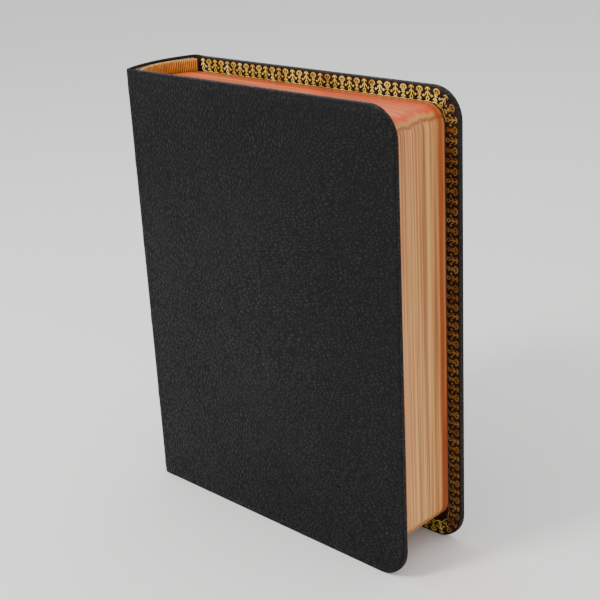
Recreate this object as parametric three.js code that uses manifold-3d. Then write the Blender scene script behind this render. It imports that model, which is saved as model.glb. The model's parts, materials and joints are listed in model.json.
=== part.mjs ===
// A leather-bound Bible, closed and standing on its tail: a rounded spine with raised bands, two
// boards covered in leather with wide turn-ins, and a text block of sewn gatherings between leaves.
// Millimetres, +Z up. X runs from the spine to the fore-edge and the front cover faces -Y.
// The origin is under the middle of the book, on the surface that it stands on.
import * as THREE from "three";
import { mergeVertices } from "three/addons/utils/BufferGeometryUtils.js";
import Module from "manifold-3d";

const manifold = await Module();
manifold.setup();

// Overall sizes
const COVER_HEIGHT = 240; // tail to head
const COVER_WIDTH = 176; // hinge line to fore-edge
const BOOK_THICKNESS = 50; // outer face to outer face
const COVER_CORNER = 16; // radius of the covers' fore-edge corners

// Materials of the covers
const LEATHER = 0.8;
const BOARD = 1.8;
const TURN_IN_LEATHER = 0.6; // pared thinner than the rest of the skin
const TURN_IN_WIDTH = 16;
const PASTEDOWN = 0.4;
const PASTE = 0.1; // layer between pieces that are glued together
const FIT = 0.3; // clearance round pieces that lie in or beside each other

// Spine
const JOINT_WIDTH = 7.5; // flat leather between the hinge line and the shoulder
const HINGE_SLIT = 1.3; // the bending line itself, left open in the solids
const SPINE_ROUND = 5.5; // how far the spine's crown stands behind its shoulders
const SPINE_CARD = 0.5;
const CAP_RISE = 0.2; // the head cap stands this far above the covers
const CAP_DEPTH = 1.4; // thickness of the leather rolled over the card's ends
const SPINE_TURN_IN = 15;
const BAND_COUNT = 6;
const BAND_WIDTH = 4;
const BAND_RISE = 0.7;
const BAND_TAIL_INSET = 6; // lowest band above the covers' tail
const BAND_HEAD_INSET = 10; // highest band below the covers' head
const HEAD_PANEL = 40; // between the two highest bands

// Text block
const BLOCK_ROUND = 11.5; // how far its back, over the headbands, would bulge over the full thickness
const HEAD_SQUARE = 8; // how far the covers stand past the pages at the head
const TAIL_SQUARE = 13;
const FORE_SQUARE = 7.6;
const PAGE_CORNER = 10; // radius of the pages' fore-edge corners
const GATHERING_COUNT = 16;
const GATHERING_GAP = 0.36; // room for a gathering to turn beside its neighbour's fold
const LEAF = 0.3;
const LEAF_GAP = 0.15;
const LEAVES = ["leaf_2", "leaf_1", "flyleaf"]; // on each side, from the pages outwards
const LEAF_HINGE = 3.4; // the innermost leaf's pivot from the hinge line
const LEAF_HINGE_STEP = 0.6; // each leaf further out bends this much nearer the spine

// Headbands, lining and tapes
const HEADBAND = 2.1;
const HEADBAND_TOP = 1; // below the covers' head
const HEADBAND_TAB = 6; // part of the band that lies behind the folds
const HEADBAND_INSET = 3.8; // its ends stop this far inside each cover's outer face
const LINING = 0.4;
const LINING_MARGIN = 12; // the lining stops this far from the pages' head and tail
const TAPE = 0.4;
const TAPE_WIDTH = 10;
const TAPE_COUNT = 4;

// Sizes that follow from those above
const middle = BOOK_THICKNESS / 2;
const coverThickness = LEATHER + PASTE + BOARD + PASTE + TURN_IN_LEATHER;
const spineRadius = (middle ** 2 + SPINE_ROUND ** 2) / (2 * SPINE_ROUND);
const blockRadius = (middle ** 2 + BLOCK_ROUND ** 2) / (2 * BLOCK_ROUND); // rounder than the hollow spine
const spineCentre = spineRadius - JOINT_WIDTH - SPINE_ROUND;
const cardRadius = spineRadius - LEATHER - PASTE;
const turnInRadius = cardRadius - SPINE_CARD - PASTE;
const blockCentre = blockRadius + spineCentre - (turnInRadius - LEATHER - FIT);
const foldRadius = blockRadius - HEADBAND - FIT;
const bandPitch =
  (COVER_HEIGHT - BAND_HEAD_INSET - HEAD_PANEL - BAND_TAIL_INSET) / (BAND_COUNT - 2);
const pageHead = COVER_HEIGHT - HEAD_SQUARE;
const pageFore = COVER_WIDTH - FORE_SQUARE;
const endLeaves = LEAF_GAP + LEAVES.length * (LEAF + LEAF_GAP);
const pages = BOOK_THICKNESS - 2 * (coverThickness + endLeaves);
const gatheringPitch = pages / GATHERING_COUNT;
const gathering = gatheringPitch - GATHERING_GAP;
const spineCrown = spineRadius + BAND_RISE - spineCentre;
const ARC_STEPS = 10; // a round stretch is drawn in twice this many steps
const CORNER_STEPS = 4;

const blackLeather = finish("#1f1f20", 0.5);
const greyBoard = finish("#8d8678", 0.9);
const endpaper = finish("#e9dfc6", 0.85);
const page = finish("#c9795a", 0.7);
const gold = finish("#c9a23c", 0.6);
const linen = finish("#d8ccb0", 0.95);

function finish(color, roughness) {
  return new THREE.MeshStandardMaterial({ color, roughness, metalness: 0 });
}

// Solids and meshes

function solidOf(geometry) {
  geometry.deleteAttribute("normal");
  geometry.deleteAttribute("uv");
  const merged = mergeVertices(geometry, 1e-4);
  return new manifold.Manifold(
    new manifold.Mesh({
      numProp: 3,
      vertProperties: merged.attributes.position.array,
      triVerts: new Uint32Array(merged.index.array),
    }),
  );
}

function meshOf(name, solid, material) {
  const { vertProperties, triVerts } = solid.getMesh();
  const geometry = new THREE.BufferGeometry();
  geometry.setAttribute("position", new THREE.BufferAttribute(vertProperties, 3));
  geometry.setIndex(new THREE.BufferAttribute(triVerts, 1));
  const mesh = new THREE.Mesh(geometry, material);
  mesh.name = name;
  return mesh;
}

// A solid that stands on an outline drawn in X and Y.
function standing(outline, bottom, top, curveSegments = ARC_STEPS) {
  const depth = top - bottom;
  const geometry = new THREE.ExtrudeGeometry(outline, { depth, bevelEnabled: false, curveSegments });
  return solidOf(geometry.translate(0, 0, bottom));
}

// A plate with an outline drawn in X and Z, between two depths from one cover's outer face.
function plate(side, outline, outer, inner) {
  const depth = inner - outer;
  const geometry = new THREE.ExtrudeGeometry(outline, {
    depth,
    bevelEnabled: false,
    curveSegments: CORNER_STEPS,
  });
  const farthest = side === "front" ? inner : BOOK_THICKNESS - outer;
  return solidOf(geometry.rotateX(Math.PI / 2).translate(0, farthest, 0));
}

// A rectangle whose two fore-edge corners are round.
function pageOutline(left, right, bottom, top, corner) {
  const outline = new THREE.Shape();
  outline.moveTo(left, bottom);
  outline.lineTo(right - corner, bottom);
  outline.absarc(right - corner, bottom + corner, corner, -Math.PI / 2, 0, false);
  outline.absarc(right - corner, top - corner, corner, 0, Math.PI / 2, false);
  outline.lineTo(left, top);
  return outline;
}

function rectangle(left, right, bottom, top) {
  const outline = new THREE.Shape();
  outline.moveTo(left, bottom);
  outline.lineTo(right, bottom);
  outline.lineTo(right, top);
  outline.lineTo(left, top);
  return outline;
}

// A strip bent about a centre line; its outer corners lie at the given inset from the covers' faces.
function bentStrip(centre, inner, outer, inset, bottom, top) {
  const half = Math.asin((middle - inset) / outer);
  const outline = new THREE.Shape();
  outline.absarc(centre, middle, outer, Math.PI - half, Math.PI + half, false);
  outline.absarc(centre, middle, inner, Math.PI + half, Math.PI - half, true);
  return standing(outline, bottom, top);
}

function spineStrip(inner, outer, inset, bottom, top) {
  return bentStrip(spineCentre, inner, outer, inset, bottom, top);
}

// A strip laid on the folds of the text block.
function blockStrip(inner, outer, bottom, top) {
  return bentStrip(blockCentre, inner, outer, HEADBAND_INSET, bottom, top);
}

const book = new THREE.Group();

// Spine

const bandHeights = Array.from({ length: BAND_COUNT - 1 }, (_, i) => BAND_TAIL_INSET + i * bandPitch);
bandHeights.push(COVER_HEIGHT - BAND_HEAD_INSET);

// One skin: the wall, its flat joints, the rolls over the card's ends and the turn-ins behind it,
// swollen over each band.
function makeSpineLeather() {
  const top = COVER_HEIGHT + CAP_RISE;
  const skinInside = turnInRadius - LEATHER;
  let skin = spineStrip(spineRadius - LEATHER, spineRadius, 0, 0, top);
  for (const face of [0, BOOK_THICKNESS - LEATHER]) {
    const joint = rectangle(-JOINT_WIDTH, -HINGE_SLIT / 2, face, face + LEATHER);
    skin = skin.add(standing(joint, 0, top));
  }
  skin = skin.add(spineStrip(skinInside, spineRadius - LEATHER / 2, 1, top - CAP_DEPTH, top));
  skin = skin.add(spineStrip(skinInside, spineRadius - LEATHER / 2, 1, 0, CAP_DEPTH));
  skin = skin.add(spineStrip(skinInside, turnInRadius, 1, top - SPINE_TURN_IN, top));
  skin = skin.add(spineStrip(skinInside, turnInRadius, 1, 0, SPINE_TURN_IN));
  const swollen = spineRadius + BAND_RISE;
  for (const height of bandHeights) {
    const half = BAND_WIDTH / 2 + LEATHER;
    skin = skin.add(spineStrip(spineRadius - LEATHER, swollen, LEATHER, height - half, height + half));
  }
  for (const height of bandHeights) {
    const half = BAND_WIDTH / 2 + PASTE;
    const bed = spineRadius - LEATHER;
    const room = spineStrip(bed - PASTE / 2, bed + BAND_RISE, 2 * LEATHER, height - half, height + half);
    skin = skin.subtract(room);
  }
  return skin;
}

book.add(meshOf("spine_leather", makeSpineLeather(), blackLeather));

const cardEnd = CAP_DEPTH + PASTE;
const card = spineStrip(
  cardRadius - SPINE_CARD,
  cardRadius,
  2 * LEATHER,
  cardEnd,
  COVER_HEIGHT + CAP_RISE - cardEnd,
);
book.add(meshOf("spine_card", card, greyBoard));

bandHeights.forEach((height, i) => {
  const bed = spineRadius - LEATHER;
  const inset = 3 * LEATHER;
  const half = BAND_WIDTH / 2;
  const band = spineStrip(bed, bed + BAND_RISE - PASTE, inset, height - half, height + half);
  book.add(meshOf(`raised_band_${i + 1}`, band, greyBoard));
});

// Headbands, sewing tapes and lining, all behind the folds of the pages

const headbands = [
  ["tailband", HEADBAND_TOP, TAIL_SQUARE + HEADBAND_TAB],
  ["headband", pageHead - HEADBAND_TAB, COVER_HEIGHT - HEADBAND_TOP],
];
for (const [name, bottom, top] of headbands) {
  const band = blockStrip(foldRadius + FIT, blockRadius, bottom, top);
  book.add(meshOf(name, band, gold));
}

const liningTail = TAIL_SQUARE + LINING_MARGIN;
const liningHead = pageHead - LINING_MARGIN;
const tapeBed = foldRadius + FIT;
const tapePitch = (liningHead - liningTail) / TAPE_COUNT;
for (let i = 0; i < TAPE_COUNT; i++) {
  const bottom = liningTail + (i + 0.5) * tapePitch - TAPE_WIDTH / 2;
  const tape = blockStrip(tapeBed, tapeBed + TAPE, bottom, bottom + TAPE_WIDTH);
  book.add(meshOf(`sewing_tape_${i + 1}`, tape, linen));
}

const liningBed = tapeBed + TAPE + PASTE;
const lining = blockStrip(liningBed, liningBed + LINING, liningTail, liningHead);
book.add(meshOf("spine_lining", lining, linen));

// Covers: board, skin turned in over its three free edges, and pastedown between the turn-ins

const coverStart = HINGE_SLIT / 2;
const beyond = 1; // cutting solids run this far past what they cut

for (const side of ["front", "back"]) {
  const edge = LEATHER + PASTE;
  const boardBack = edge + BOARD;
  const faceOf = (inset, left) =>
    pageOutline(left, COVER_WIDTH - inset, inset, COVER_HEIGHT - inset, COVER_CORNER - inset);
  const windowOf = (inset, left) =>
    rectangle(left, COVER_WIDTH - inset, inset, COVER_HEIGHT - inset);

  const pocket = plate(side, faceOf(LEATHER, -beyond), LEATHER, boardBack + PASTE);
  const opening = windowOf(TURN_IN_WIDTH, -beyond);
  const skin = plate(side, faceOf(0, coverStart), 0, coverThickness)
    .subtract(pocket)
    .subtract(plate(side, opening, boardBack, coverThickness + beyond));
  book.add(meshOf(`${side}_cover_leather`, skin, blackLeather));

  const board = plate(side, faceOf(edge, coverStart), edge, boardBack);
  book.add(meshOf(`${side}_board`, board, greyBoard));

  const paper = windowOf(TURN_IN_WIDTH + FIT, coverStart);
  const pastedownFace = boardBack + PASTE;
  const pastedown = plate(side, paper, pastedownFace, pastedownFace + PASTEDOWN);
  book.add(meshOf(`${side}_pastedown`, pastedown, endpaper));

  LEAVES.forEach((name, i) => {
    const outer = coverThickness + endLeaves - (i + 1) * (LEAF + LEAF_GAP);
    const start = LEAF_HINGE - i * LEAF_HINGE_STEP - LEAF / 2;
    const outline = pageOutline(start, pageFore, TAIL_SQUARE, pageHead, PAGE_CORNER);
    book.add(meshOf(`${side}_${name}`, plate(side, outline, outer, outer + LEAF), endpaper));
  });
}

// Gatherings: each has a round fold at the spine, a flat fore-edge and round fore-edge corners

for (let i = 0; i < GATHERING_COUNT; i++) {
  const half = gathering / 2;
  const depth = coverThickness + endLeaves + (i + 0.5) * gatheringPitch;
  const offset = middle - depth;
  const fold = blockCentre - Math.sqrt((foldRadius - half) ** 2 - offset ** 2);
  const outline = new THREE.Shape();
  outline.absarc(fold, depth, half, Math.PI / 2, 1.5 * Math.PI, false);
  outline.lineTo(pageFore, depth - half);
  outline.lineTo(pageFore, depth + half);
  const paper = standing(outline, TAIL_SQUARE - beyond, pageHead + beyond, CORNER_STEPS);
  const left = fold - half - beyond;
  const cut = pageOutline(left, pageFore + beyond, TAIL_SQUARE, pageHead, PAGE_CORNER + beyond);
  const trimmed = paper.intersect(plate("front", cut, 0, BOOK_THICKNESS));
  const number = String(i + 1).padStart(2, "0");
  book.add(meshOf(`gathering_${number}`, trimmed, page));
}

book.position.set(-(COVER_WIDTH - spineCrown) / 2, -middle, 0);
const bible = new THREE.Group();
bible.add(book);

export default bible;
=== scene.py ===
"""A black leather Bible with a rounded, banded spine, gold-tooled turn-ins and red-under-gold page edges.

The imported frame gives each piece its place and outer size. The script follows the order in which a
binder puts the book together: pages, spine, boards, leather, tooling, endpapers.
"""
import json
import math
import random

import bmesh
import bpy
import numpy as np
from mathutils import Matrix, Vector


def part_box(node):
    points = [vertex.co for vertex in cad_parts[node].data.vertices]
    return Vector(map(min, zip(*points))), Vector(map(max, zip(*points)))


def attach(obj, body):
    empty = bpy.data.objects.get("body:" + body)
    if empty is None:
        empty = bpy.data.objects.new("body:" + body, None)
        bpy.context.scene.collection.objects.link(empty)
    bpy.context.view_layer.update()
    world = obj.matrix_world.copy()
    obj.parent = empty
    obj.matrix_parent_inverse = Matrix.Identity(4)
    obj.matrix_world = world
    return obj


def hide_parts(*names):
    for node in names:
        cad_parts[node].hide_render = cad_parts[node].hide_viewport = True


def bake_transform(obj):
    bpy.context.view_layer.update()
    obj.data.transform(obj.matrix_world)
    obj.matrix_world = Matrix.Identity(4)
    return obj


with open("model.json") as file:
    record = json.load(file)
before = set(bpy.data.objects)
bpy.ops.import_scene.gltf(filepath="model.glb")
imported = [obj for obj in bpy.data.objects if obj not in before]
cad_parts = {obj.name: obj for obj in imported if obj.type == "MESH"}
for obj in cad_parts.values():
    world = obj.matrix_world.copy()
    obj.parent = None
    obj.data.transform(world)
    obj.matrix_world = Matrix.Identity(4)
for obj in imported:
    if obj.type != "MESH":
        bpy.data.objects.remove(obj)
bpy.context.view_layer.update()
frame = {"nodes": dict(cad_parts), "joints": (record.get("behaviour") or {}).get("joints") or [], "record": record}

MM = 0.001

# ------------------------------------------------------------
# Camera, lamps and floor.
# A plain pale table under three soft lamps. The camera looks down at the front cover and the
# fore-edge with a long lens, from nearly three book heights away.
# ------------------------------------------------------------

CAMERA_AZIMUTH = math.radians(44.83)
CAMERA_ELEVATION = math.radians(20.81)
CAMERA_ROLL = math.radians(-3.08)
CAMERA_DISTANCE = 652.8 * MM
CAMERA_AIM = Vector((7.1, 0.0, 123.5)) * MM
LENS_MM = 74.8


def add_camera():
    toward = Vector((
        math.sin(CAMERA_AZIMUTH) * math.cos(CAMERA_ELEVATION),
        -math.cos(CAMERA_AZIMUTH) * math.cos(CAMERA_ELEVATION),
        math.sin(CAMERA_ELEVATION),
    ))
    data = bpy.data.cameras.new("camera")
    data.lens = LENS_MM
    camera = bpy.data.objects.new("camera", data)
    bpy.context.scene.collection.objects.link(camera)
    turn = toward.to_track_quat("Z", "Y").to_matrix() @ Matrix.Rotation(CAMERA_ROLL, 3, "Z")
    camera.matrix_world = Matrix.Translation(CAMERA_AIM + toward * CAMERA_DISTANCE) @ turn.to_4x4()
    bpy.context.scene.camera = camera


def add_lamp(name, place, aim, size, watts, color=(1, 1, 1)):
    data = bpy.data.lights.new(name, "AREA")
    data.shape = "RECTANGLE"
    data.size, data.size_y = size
    data.energy = watts
    data.color = color
    lamp = bpy.data.objects.new(name, data)
    bpy.context.scene.collection.objects.link(lamp)
    place = Vector(place)
    lamp.matrix_world = Matrix.Translation(place) @ (place - Vector(aim)).to_track_quat("Z",
            "Y").to_matrix().to_4x4()


def srgb(hex_color):
    """A colour written as #rrggbb, as linear red, green, blue and alpha."""
    parts = [int(hex_color[i:i + 2], 16) / 255 for i in (1, 3, 5)]
    linear = [c / 12.92 if c <= 0.04045 else ((c + 0.055) / 1.055) ** 2.4 for c in parts]
    return (*linear, 1.0)


def new_material(name):
    """A material, its node tree and its Principled shader."""
    material = bpy.data.materials.new(name)
    material.use_nodes = True
    return material, material.node_tree, material.node_tree.nodes["Principled BSDF"]


def node(tree, kind, settings=None, links=None, **properties):
    """Adds a node: its properties, its inputs' fixed values, and its inputs' links, each from a
    socket or from a node's first output in use."""
    made = tree.nodes.new(kind)
    for name, value in properties.items():
        setattr(made, name, value)
    for name, value in (settings or {}).items():
        made.inputs[name].default_value = value
    for name, source in (links or {}).items():
        if isinstance(source, bpy.types.Node):
            source = next(socket for socket in source.outputs if socket.enabled)
        tree.links.new(source, made.inputs[name])
    return made


def ramp(tree, source, stops):
    """A colour ramp over (place, colour) stops."""
    made = node(tree, "ShaderNodeValToRGB", links={"Fac": source})
    band = made.color_ramp
    while len(band.elements) < len(stops):
        band.elements.new(0.5)
    for element, (place, color) in zip(band.elements, stops):
        element.position = place
        element.color = color
    return made.outputs["Color"]


def finish_shader(tree, shader, color, roughness, height, strength, distance):
    """Gives the shader its colour, its roughness (a number, or a socket where it varies) and its bump."""
    tree.links.new(color, shader.inputs["Base Color"])
    if isinstance(roughness, float):
        shader.inputs["Roughness"].default_value = roughness
    else:
        tree.links.new(roughness, shader.inputs["Roughness"])
    bump = node(tree, "ShaderNodeBump", {"Strength": strength, "Distance": distance}, {"Height": height})
    tree.links.new(bump.outputs["Normal"], shader.inputs["Normal"])


def grey(value):
    return (value, value, value, 1.0)


def add_floor():
    material, tree, shader = new_material("pale_table_paper")
    shader.inputs["Base Color"].default_value = srgb("#dcdbd8")
    shader.inputs["Roughness"].default_value = 0.9
    mesh = bpy.data.meshes.new("floor")
    reach = 6.0
    corners = [(-reach, -reach, 0), (reach, -reach, 0), (reach, reach, 0), (-reach, reach, 0)]
    mesh.from_pydata(corners, [], [(0, 1, 2, 3)])
    mesh.materials.append(material)
    floor = bpy.data.objects.new("floor", mesh)
    bpy.context.scene.collection.objects.link(floor)


add_camera()
add_floor()
world = bpy.data.worlds.new("studio")
world.use_nodes = True
world.node_tree.nodes["Background"].inputs["Color"].default_value = srgb("#f4f5f7")
world.node_tree.nodes["Background"].inputs["Strength"].default_value = 1.34
bpy.context.scene.world = world
add_lamp("overhead_softbox", (-0.15, 0.1, 1.3), (0, 0, 0.1), (1.4, 1.4), 6.5)
add_lamp("fore_edge_softbox", (1.3, -0.15, 0.7), (0.05, 0, 0.12), (0.9, 0.9), 4, (1.0, 0.97, 0.93))
add_lamp("cover_softbox", (-0.30, -0.95, 1.05), (0.11, -0.02, 0.24), (0.3, 0.3), 18)

# ------------------------------------------------------------
# Text block: gatherings of thin paper, sewn through their folds.
# Each gathering is a pad of leaves with a round fold, trimmed together to one flat fore-edge and
# round corners, then stained red and gilded. The red shows at head, tail and corners.
# ------------------------------------------------------------

GATHERINGS = sorted(name for name in frame["nodes"] if name.startswith("gathering_"))
LAYERS = 12  # leaf groups drawn in one gathering
CORNER_STEPS = 14
PAGE_CORNER = 10 * MM
TRIM_JITTER = 0.03 * MM  # how far the leaf groups' edges stand out from each other
GATHERING_GAP = 0.06 * MM
STAIN = 0.8 * MM  # the edge stain creeps this far in from the trimmed edges


def body_of(name):
    """The CAD body that a node belongs to."""
    return next(body for body, nodes in frame["record"]["behaviour"]["bodies"].items() if name in nodes)


def link_mesh(name, vertices, faces, materials, smooth=True, face_slots=None):
    """A mesh object at the origin, with its materials and shading."""
    mesh = bpy.data.meshes.new(name)
    mesh.from_pydata([tuple(v) for v in vertices], [], faces)
    for material in materials:
        mesh.materials.append(material)
    if face_slots is not None:
        mesh.polygons.foreach_set("material_index", face_slots)
    mesh.polygons.foreach_set("use_smooth", [smooth] * len(mesh.polygons))
    mesh.update()
    made = bpy.data.objects.new(name, mesh)
    bpy.context.scene.collection.objects.link(made)
    return made


def grid_faces(rows, columns, start=0, close_columns=False):
    """Quads between the points of a grid that is numbered row by row."""
    faces = []
    for r in range(rows - 1):
        for c in range(columns - (0 if close_columns else 1)):
            d = (c + 1) % columns
            a = start + r * columns
            b = a + columns
            faces.append((a + c, a + d, b + d, b + c))
    return faces


def page_edge_material():
    """Thin Bible paper trimmed, stained red and gilded: burnished gold on the flat fore-edge over
    red, with the red left bare at head and tail. Leaf edges give fine lines along the block."""
    material, tree, shader = new_material("red_under_gold_page_edge")
    place = node(tree, "ShaderNodeTexCoord").outputs["Object"]
    axes = node(tree, "ShaderNodeSeparateXYZ", links={"Vector": place})

    # Leaf edges are 0.05 mm apart on the real paper; groups of about 0.35 mm are drawn, so that they show.
    def leaf_lines(per_metre, along, detail, seed):
        mapped = node(tree, "ShaderNodeMapping", {"Scale": along, "Location": (seed, 0, 0)},
                      {"Vector": place})
        return node(tree, "ShaderNodeTexNoise", {"Scale": per_metre, "Detail": detail, "Roughness": 0.6},
                    {"Vector": mapped.outputs["Vector"]}).outputs["Fac"]

    fine = leaf_lines(2800, (0.004, 1, 0.004), 2, 0.0)
    broad = leaf_lines(420, (0.03, 1, 0.012), 3, 3.1)
    rubbed = leaf_lines(60, (1, 1.6, 0.45), 5, 7.7)

    lines = leaf_lines(900, (0.006, 1, 0.006), 4, 5.3)
    gold = ramp(tree, lines,
                [(0.34, srgb("#744416")), (0.43, srgb("#9c6630")), (0.52, srgb("#b98244")),
                 (0.66, srgb("#cc9c58"))])
    pink = ramp(tree, lines, [(0.3, srgb("#8c4322")), (0.55, srgb("#bd683f")), (0.8, srgb("#d08a60"))])
    warm = node(tree, "ShaderNodeMapRange", {"From Min": 0.50, "From Max": 0.70}, {"Value": broad})
    beside_front = node(tree, "ShaderNodeMapRange",
                        {"From Min": -0.020, "From Max": -0.007, "To Min": 0.9, "To Max": 0.0},
                        {"Value": axes.outputs["Y"]})
    pinker = node(tree, "ShaderNodeMath", links={0: warm, 1: beside_front}, operation="MAXIMUM")
    fore = node(tree, "ShaderNodeMix", links={"Factor": pinker, "A": gold, "B": pink}, data_type="RGBA")

    red = ramp(tree, broad,
               [(0.28, srgb("#8e2603")), (0.43, srgb("#b23c06")), (0.56, srgb("#c4560e")),
                (0.68, srgb("#b87430"))])
    streak = ramp(tree, fine, [(0.3, grey(0.55)), (0.6, grey(1.0))])
    head = node(tree, "ShaderNodeMix", {"Factor": 0.45}, {"A": red, "B": streak}, data_type="RGBA",
                blend_type="MULTIPLY")

    # Round the corners the red thins out to orange, then bare paper, then a broken line of red.
    low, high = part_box("gathering_08")
    from_middle = node(tree, "ShaderNodeMath", {1: (low.z + high.z) / 2}, {0: axes.outputs["Z"]},
                       operation="SUBTRACT")
    up_or_down = node(tree, "ShaderNodeMath", links={0: from_middle}, operation="ABSOLUTE")
    half_height = (high.z - low.z) / 2
    upward = node(tree, "ShaderNodeMapRange",
                  {"From Min": half_height - PAGE_CORNER, "From Max": half_height}, {"Value": up_or_down})
    uneven = node(tree, "ShaderNodeMapRange",
                  {"From Min": 0.3, "From Max": 0.7, "To Min": -0.12, "To Max": 0.12}, {"Value": rubbed})
    by_leaf = node(tree, "ShaderNodeMapRange",
                   {"From Min": 0.3, "From Max": 0.7, "To Min": -0.07, "To Max": 0.07}, {"Value": lines})
    jitter = node(tree, "ShaderNodeMath", links={0: uneven, 1: by_leaf}, operation="ADD")
    tilt = node(tree, "ShaderNodeMath", links={0: upward, 1: jitter}, operation="ADD")
    bands = ramp(tree, tilt,
                 [(0.36, srgb("#a9803f")), (0.42, srgb("#93491a")), (0.50, srgb("#9c5426")),
                  (0.57, srgb("#b07c3e")), (0.67, srgb("#b9783a")), (0.76, srgb("#bd541a")),
                  (0.88, srgb("#b23a0a"))])
    streaked = node(tree, "ShaderNodeMix", {"Factor": 0.35}, {"A": bands, "B": streak}, data_type="RGBA",
                    blend_type="MULTIPLY")
    at_corner = node(tree, "ShaderNodeMapRange", {"From Min": 0.32, "From Max": 0.40}, {"Value": tilt})
    at_head = node(tree, "ShaderNodeMapRange", {"From Min": 0.86, "From Max": 0.96}, {"Value": tilt})
    round_it = node(tree, "ShaderNodeMix", links={"Factor": at_corner, "A": fore, "B": streaked},
                    data_type="RGBA")
    stained = node(tree, "ShaderNodeMix", links={"Factor": at_head, "A": round_it, "B": head},
                   data_type="RGBA")
    # Painted shade: beside the back cover, and in a thin line beside the front cover, the edge is coloured a
    # deeper red for the shadow in the gap between the pages and the covers.
    wander = node(tree, "ShaderNodeMath", {1: 0.003}, {0: rubbed}, operation="MULTIPLY")
    across = node(tree, "ShaderNodeMath", links={0: axes.outputs["Y"], 1: wander}, operation="ADD")
    share = node(tree, "ShaderNodeMapRange", {"From Min": -0.0235, "From Max": 0.0265}, {"Value": across})
    painted_shade_band = ramp(tree, share,
                 [(0.105, grey(0.8)), (0.135, grey(0.0)), (0.80, grey(0.0)), (0.825, grey(0.8)),
                  (0.865, grey(0.8)), (0.885, grey(0.3)), (0.92, grey(0.6))])
    shaded_deep_red = ramp(tree, fine, [(0.3, srgb("#6e1c06")), (0.5, srgb("#99300e")), (0.75, srgb("#b05426"))])
    edged = node(tree, "ShaderNodeMix", links={"Factor": painted_shade_band, "A": stained, "B": shaded_deep_red}, data_type="RGBA")
    # A drop of undiluted red ran down the front corner.
    front = node(tree, "ShaderNodeMapRange",
                 {"From Min": -0.0195, "From Max": -0.0165, "To Min": 1.0, "To Max": 0.0},
                 {"Value": across})
    drop = ramp(tree, tilt, [(0.12, grey(0)), (0.26, grey(1)), (0.46, grey(1)), (0.6, grey(0))])
    spot = node(tree, "ShaderNodeMath", links={0: front, 1: drop}, operation="MULTIPLY")
    color = node(tree, "ShaderNodeMix", {"B": srgb("#a81406")}, {"Factor": spot, "A": edged},
                 data_type="RGBA")
    shader.inputs["Metallic"].default_value = 0.15
    gloss = node(tree, "ShaderNodeMapRange",
                 {"From Min": 0.3, "From Max": 0.7, "To Min": 0.38, "To Max": 0.6}, {"Value": rubbed})
    finish_shader(tree, shader, color.outputs["Result"], gloss.outputs["Result"], fine, 0.35, 0.0001)
    return material


def page_face_material():
    """Cream Bible paper: thin, smooth and matt, with slow clouds and fine fibres."""
    material, tree, shader = new_material("cream_bible_paper")
    place = node(tree, "ShaderNodeTexCoord").outputs["Object"]
    fibre = node(tree, "ShaderNodeTexNoise", {"Scale": 900, "Detail": 6, "Roughness": 0.7},
                 {"Vector": place})
    cloud = node(tree, "ShaderNodeTexNoise", {"Scale": 14, "Detail": 3}, {"Vector": place})
    paper = ramp(tree, cloud.outputs["Fac"], [(0.3, srgb("#e6dcc0")), (0.7, srgb("#f1ead6"))])
    mottle = ramp(tree, fibre.outputs["Fac"], [(0.35, grey(0.93)), (0.65, grey(1.0))])
    color = node(tree, "ShaderNodeMix", {"Factor": 1.0}, {"A": paper, "B": mottle}, data_type="RGBA",
                 blend_type="MULTIPLY")
    finish_shader(tree, shader, color.outputs["Result"], 0.82, fibre.outputs["Fac"], 0.2, 0.0001)
    return material


PAGE_EDGE = page_edge_material()
PAGE_FACE = page_face_material()


def rounded_page(left, right, bottom, top, corner, steps=CORNER_STEPS):
    """Points round a page in X and Z, from its tail at the spine to its head at the spine."""
    points = [(left, bottom)]
    for centre_z, start in ((bottom + corner, -math.pi / 2), (top - corner, 0.0)):
        for i in range(steps + 1):
            angle = start + i * math.pi / 2 / steps
            points.append((right - corner + corner * math.cos(angle), centre_z + corner * math.sin(angle)))
    points.append((left, top))
    return points


def add_gathering(name, pitch):
    low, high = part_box(name)
    middle = (low.y + high.y) / 2
    half = (pitch - GATHERING_GAP) / 2
    chance = random.Random(name)

    def layer(across, stand, inset):
        """The outline at a share of the thickness, trimmed to stand proud or drawn in by an inset."""
        fold = low.x + half * (1 - math.sqrt(max(0.0, 1 - across ** 2)))
        tail, head = low.z - stand / 2 + inset, high.z + stand / 2 - inset
        outline = rounded_page(fold, high.x + stand - inset, tail, head, PAGE_CORNER - inset)
        return [(x, middle + across * half, z) for x, z in outline]

    outlines = [layer(-1, 0, STAIN)]
    for i in range(LAYERS):
        outlines.append(layer(-1 + 2 * i / (LAYERS - 1), chance.uniform(0, 1) * TRIM_JITTER, 0))
    outlines.append(layer(1, 0, STAIN))
    gathering = stained_pad(name + "_leaves", outlines, PAGE_FACE, PAGE_EDGE)
    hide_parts(name)
    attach(gathering, body_of(name))


def stained_pad(name, outlines, face, edge):
    """A pad or sheet through outlines from face to face; the first and last bound the clean faces."""
    count = len(outlines[0])
    vertices = [point for outline in outlines for point in outline]
    faces = [tuple(reversed(quad)) for quad in grid_faces(len(outlines), count, close_columns=True)]
    slots = [1] * len(faces)
    faces += [tuple(range(count)), tuple(reversed(range(len(vertices) - count, len(vertices))))]
    slots += [0, 0]
    return link_mesh(name, vertices, faces, [face, edge], False, slots)


def middle_y(name):
    low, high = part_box(name)
    return (low.y + high.y) / 2


gathering_pitch = (middle_y(GATHERINGS[-1]) - middle_y(GATHERINGS[0])) / (len(GATHERINGS) - 1)
for name in GATHERINGS:
    add_gathering(name, gathering_pitch)

# ------------------------------------------------------------
# Sewing tapes and spine lining, glued over the folds.
# Unbleached linen in a plain weave, drawn coarser than the real one so that it shows.
# ------------------------------------------------------------


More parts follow.
